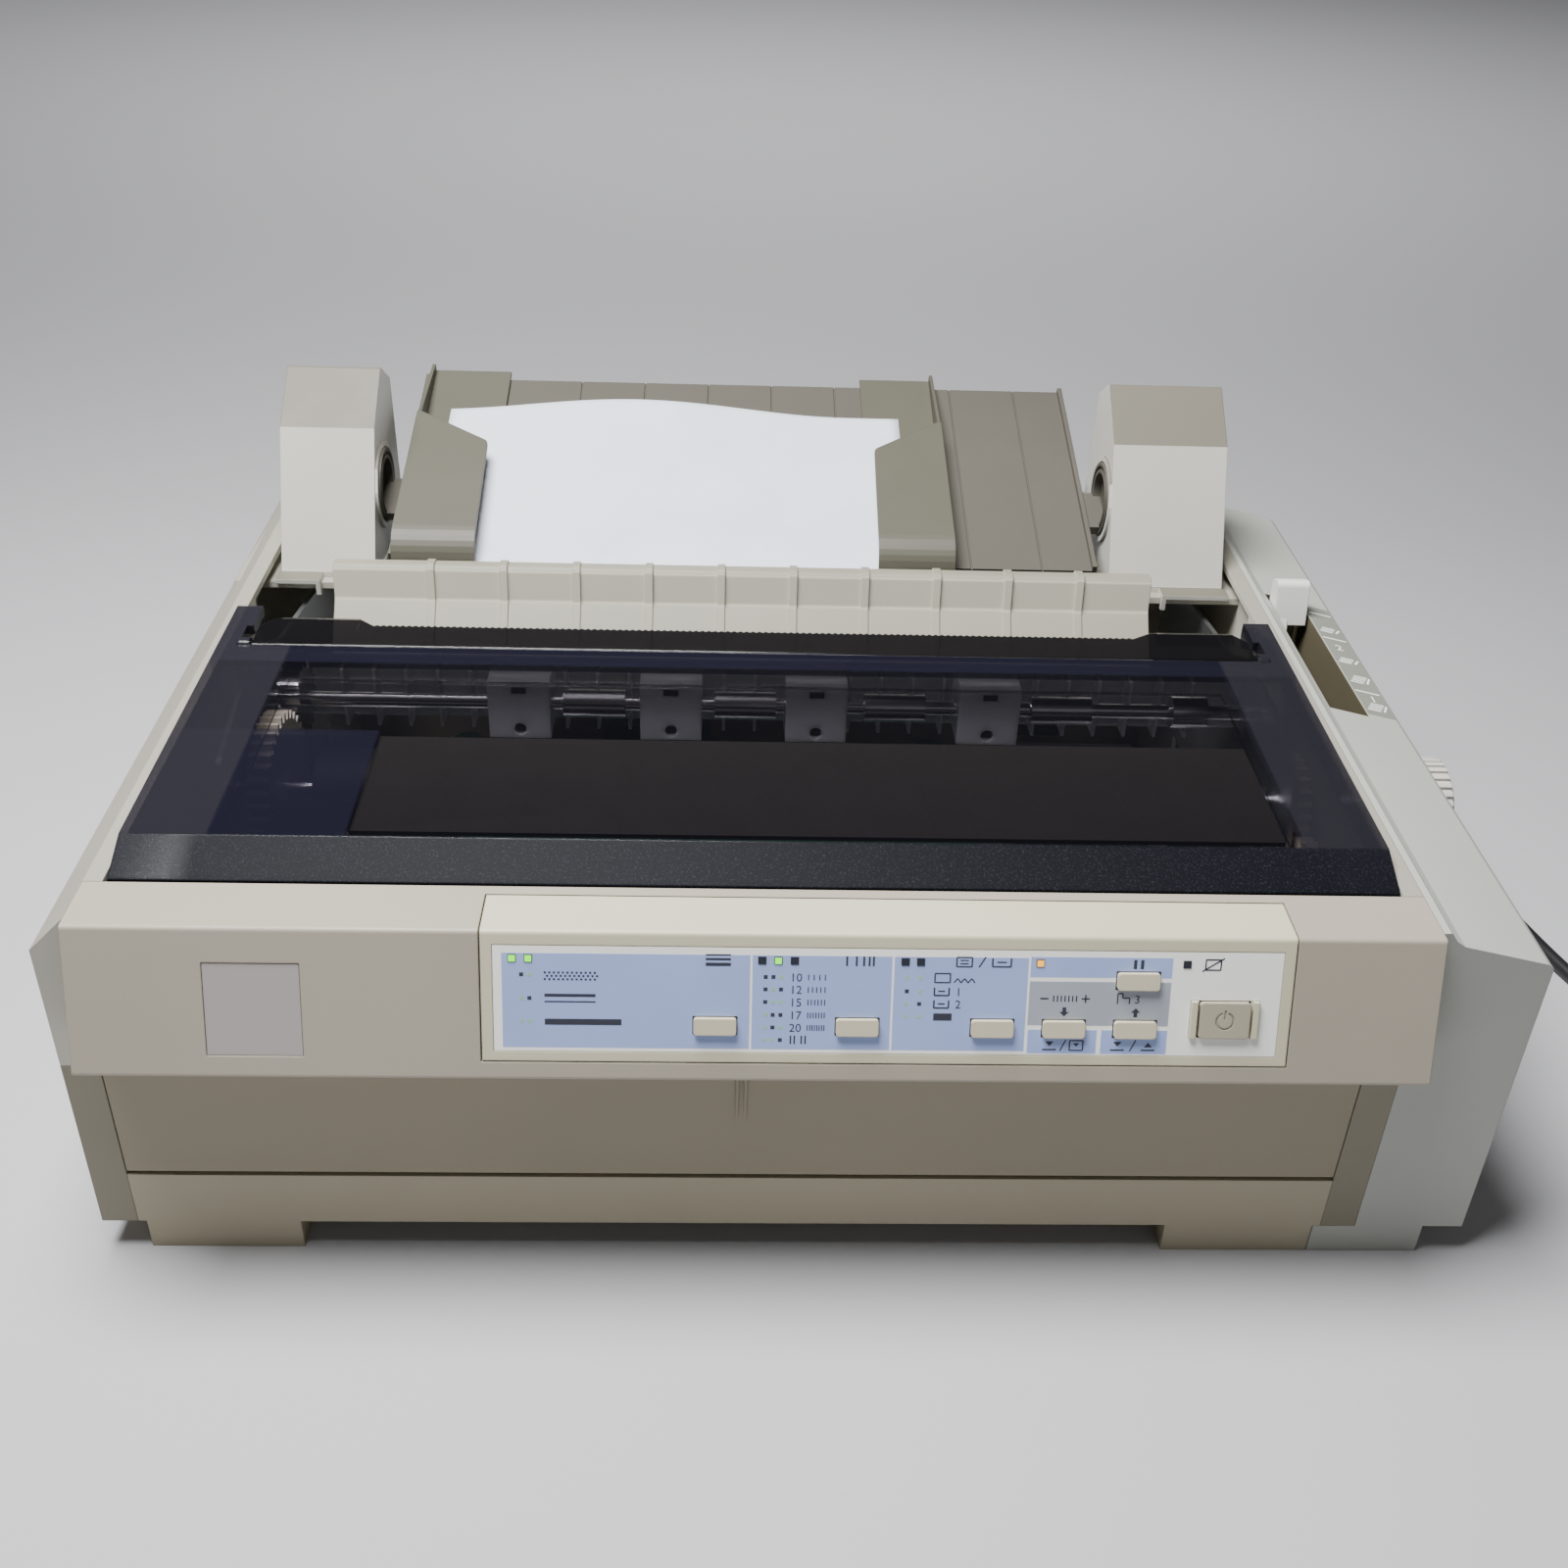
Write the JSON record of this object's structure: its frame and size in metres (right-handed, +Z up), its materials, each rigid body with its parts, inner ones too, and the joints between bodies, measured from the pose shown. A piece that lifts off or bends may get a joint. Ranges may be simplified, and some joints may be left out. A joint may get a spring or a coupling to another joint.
{
  "type": "dot matrix printer",
  "caption": "Wide desktop dot matrix printer with smoked hinged cover, tear-off flap, front door, key panel, rear tilting sheet tray with edge guides, feed knob and full print mechanism.",
  "frame": {"origin": "centre of the footprint of the machine without its cord, on the table surface", "axes": "+X to the right seen from the front, +Y to the rear, +Z up"},
  "size_m": [0.6922, 0.4815, 0.2219],
  "materials": {
    "housing": "fine moulded grain",
    "housing_lower": "fine moulded grain",
    "panel": "fine moulded grain",
    "control_cream": "smooth satin",
    "label_print": "printed sheet, satin",
    "led_green": "clear lens",
    "badge": "satin, bare",
    "smoked": "smoked, slightly see-through",
    "sound_pad": "felt",
    "tray_beige": "fine moulded grain",
    "box_grey": "fine moulded grain",
    "paper": "uncoated paper",
    "plate_steel": "zinc plated",
    "shaft_steel": "ground",
    "platen_rubber": "ground rubber",
    "gear_ivory": "moulded",
    "motor_case": "black enamel",
    "brass": "turned",
    "black_plastic": "moulded",
    "knob_grey": "ribbed moulding",
    "lever_white": "smooth",
    "head_metal": "cast, dark",
    "belt_rubber": "toothless band",
    "board_green": "solder resist",
    "core_steel": "lacquered laminations",
    "cord_black": "smooth sheath",
    "plug_black": "moulded"
  },
  "bodies": {
    "case": {"lower_case": "housing_lower", "upper_case": "housing", "right_pod": "housing", "front_panel": "panel", "control_unit": "control_cream", "panel_label": "label_print", "indicator_leds": "led_green", "badge_plate": "badge", "guide_bar": "tray_beige", "left_box": "box_grey", "right_box": "box_grey", "chassis_base": "plate_steel", "left_frame": "plate_steel", "right_frame": "plate_steel", "motors": "motor_case", "tension_frame": "black_plastic", "guide_rods": "shaft_steel", "carriage_belt": "belt_rubber", "ribbon_cartridge": "black_plastic", "main_board": "board_green", "transformer": "core_steel", "mains_inlet": "plug_black", "mains_connector": "plug_black", "mains_cord": "cord_black", "cord_coil": "cord_black", "mains_plug": "plug_black"},
    "cover": {"printer_cover": "smoked", "cover_pad": "sound_pad"},
    "flap": {"tear_off_flap": "smoked"},
    "door": {"front_door": "housing_lower"},
    "mode_button": {"mode_key": "control_cream"},
    "pitch_button": {"pitch_key": "control_cream"},
    "tear_button": {"tear_key": "control_cream"},
    "feed_button": {"feed_key": "control_cream"},
    "load_button": {"load_key": "control_cream"},
    "pause_button": {"pause_key": "control_cream"},
    "power_button": {"power_key": "control_cream"},
    "tray": {"sheet_tray": "tray_beige", "paper_sheet": "paper"},
    "left_edge_guide": {"left_guide": "tray_beige"},
    "right_edge_guide": {"right_guide": "tray_beige"},
    "platen_roller": {"platen": "platen_rubber", "platen_shaft": "shaft_steel", "feed_knob": "knob_grey", "platen_gears": "gear_ivory"},
    "feed_pinion": {"motor_pinion": "brass"},
    "tension_roller": {"tension_shaft": "black_plastic"},
    "idler_front": {"front_idler": "gear_ivory"},
    "idler_rear": {"rear_idler": "gear_ivory"},
    "tractor_drive": {"tractor_shaft": "shaft_steel"},
    "tractor_left": {"left_tractor": "black_plastic"},
    "tractor_right": {"right_tractor": "black_plastic"},
    "sprocket_left": {"left_sprocket": "gear_ivory"},
    "sprocket_right": {"right_sprocket": "gear_ivory"},
    "head_carriage": {"carriage": "black_plastic", "print_head": "head_metal"},
    "belt_driver": {"drive_pulley": "brass"},
    "belt_idler": {"idler_pulley": "gear_ivory"},
    "ribbon_winder": {"ribbon_knob": "black_plastic"},
    "lever": {"release_lever": "lever_white"}
  },
  "joints": [
    {"name": "cover_hinge", "type": "hinge", "parent": "case", "child": "cover", "pos_m": [-0.01755, 0.02271, 0.14646], "axis": [-1, 0, 0], "range_deg": [0, 100]},
    {"name": "flap_hinge", "type": "hinge", "parent": "cover", "child": "flap", "pos_m": [-0.01755, -0.01581, 0.15535], "axis": [1, 0, 0], "range_deg": [0, 100]},
    {"name": "door_hinge", "type": "hinge", "parent": "case", "child": "door", "pos_m": [-0.02375, -0.17183, 0.0376], "axis": [1, 0, 0], "range_deg": [0, 90]},
    {"name": "mode_press", "type": "slide", "parent": "case", "child": "mode_button", "axis": [0, 0.9524, -0.3047], "range_m": [0, 0.0012], "stiffness_N_per_m": 700},
    {"name": "pitch_press", "type": "slide", "parent": "case", "child": "pitch_button", "axis": [0, 0.9524, -0.3047], "range_m": [0, 0.0012], "stiffness_N_per_m": 700},
    {"name": "tear_press", "type": "slide", "parent": "case", "child": "tear_button", "axis": [0, 0.9524, -0.3047], "range_m": [0, 0.0012], "stiffness_N_per_m": 700},
    {"name": "feed_press", "type": "slide", "parent": "case", "child": "feed_button", "axis": [0, 0.9524, -0.3047], "range_m": [0, 0.0012], "stiffness_N_per_m": 700},
    {"name": "load_press", "type": "slide", "parent": "case", "child": "load_button", "axis": [0, 0.9524, -0.3047], "range_m": [0, 0.0012], "stiffness_N_per_m": 700},
    {"name": "pause_press", "type": "slide", "parent": "case", "child": "pause_button", "axis": [0, 0.9524, -0.3047], "range_m": [0, 0.0012], "stiffness_N_per_m": 700},
    {"name": "power_press", "type": "slide", "parent": "case", "child": "power_button", "axis": [0, 0.9524, -0.3047], "range_m": [0, 0.0014], "stiffness_N_per_m": 900},
    {"name": "tray_tilt", "type": "hinge", "parent": "case", "child": "tray", "pos_m": [-0.02275, 0.10177, 0.175], "axis": [1, 0, 0], "range_deg": [0, 45]},
    {"name": "left_guide_slide", "type": "slide", "parent": "tray", "child": "left_edge_guide", "axis": [1, 0, 0], "range_m": [0, 0.0104]},
    {"name": "right_guide_slide", "type": "slide", "parent": "tray", "child": "right_edge_guide", "axis": [1, 0, 0], "range_m": [-0.015, 0.058]},
    {"name": "platen_spin", "type": "hinge", "parent": "case", "child": "platen_roller", "pos_m": [-0.02375, -0.05623, 0.116], "axis": [1, 0, 0], "continuous": true},
    {"name": "feed_pinion_spin", "type": "hinge", "parent": "case", "child": "feed_pinion", "pos_m": [-0.19775, -0.03077, 0.09054], "axis": [1, 0, 0], "continuous": true},
    {"name": "tension_spin", "type": "hinge", "parent": "case", "child": "tension_roller", "pos_m": [-0.02375, -0.01827, 0.13398], "axis": [1, 0, 0], "continuous": true},
    {"name": "rear_idler_spin", "type": "hinge", "parent": "case", "child": "idler_rear", "pos_m": [0.18625, -0.08691, 0.09865], "axis": [1, 0, 0], "continuous": true},
    {"name": "front_idler_spin", "type": "hinge", "parent": "case", "child": "idler_front", "pos_m": [0.18625, -0.11694, 0.08167], "axis": [1, 0, 0], "continuous": true},
    {"name": "tractor_spin", "type": "hinge", "parent": "case", "child": "tractor_drive", "pos_m": [-0.02375, -0.14698, 0.0647], "axis": [1, 0, 0], "continuous": true},
    {"name": "left_tractor_slide", "type": "slide", "parent": "case", "child": "tractor_left", "axis": [1, 0, 0], "range_m": [-0.05, 0.07]},
    {"name": "right_tractor_slide", "type": "slide", "parent": "case", "child": "tractor_right", "axis": [1, 0, 0], "range_m": [-0.06, 0.11]},
    {"name": "left_sprocket_spin", "type": "hinge", "parent": "tractor_left", "child": "sprocket_left", "pos_m": [-0.13775, -0.14698, 0.0647], "axis": [1, 0, 0], "continuous": true},
    {"name": "right_sprocket_spin", "type": "hinge", "parent": "tractor_right", "child": "sprocket_right", "pos_m": [0.04225, -0.14698, 0.0647], "axis": [1, 0, 0], "continuous": true},
    {"name": "carriage_slide", "type": "slide", "parent": "case", "child": "head_carriage", "axis": [1, 0, 0], "range_m": [0, 0.24]},
    {"name": "belt_driver_spin", "type": "hinge", "parent": "case", "child": "belt_driver", "pos_m": [-0.19375, -0.08723, 0.047], "axis": [0, 0, 1], "range_deg": [-5, 1533]},
    {"name": "belt_idler_spin", "type": "hinge", "parent": "case", "child": "belt_idler", "pos_m": [0.16225, -0.08723, 0.047], "axis": [0, 0, 1], "range_deg": [-5, 1533]},
    {"name": "ribbon_winder_spin", "type": "hinge", "parent": "case", "child": "ribbon_winder", "pos_m": [-0.16375, -0.13323, 0.13], "axis": [0, 0, 1], "continuous": true},
    {"name": "lever_turn", "type": "hinge", "parent": "case", "child": "lever", "pos_m": [0.20925, 0.02577, 0.06], "axis": [1, 0, 0], "range_deg": [0, 46]}
  ],
  "couplings": [
    {"joint": "feed_pinion_spin", "follows": "platen_spin", "ratio": -3.8},
    {"joint": "tension_spin", "follows": "platen_spin", "ratio": -2.1111},
    {"joint": "rear_idler_spin", "follows": "platen_spin", "ratio": -1.0435},
    {"joint": "front_idler_spin", "follows": "platen_spin", "ratio": 1.0435},
    {"joint": "tractor_spin", "follows": "platen_spin", "ratio": -1.0435},
    {"joint": "left_sprocket_spin", "follows": "platen_spin", "ratio": -1.0435},
    {"joint": "right_sprocket_spin", "follows": "platen_spin", "ratio": -1.0435},
    {"joint": "belt_driver_spin", "follows": "carriage_slide", "rad_per_m": 111.11},
    {"joint": "belt_idler_spin", "follows": "carriage_slide", "rad_per_m": 111.11}
  ]
}
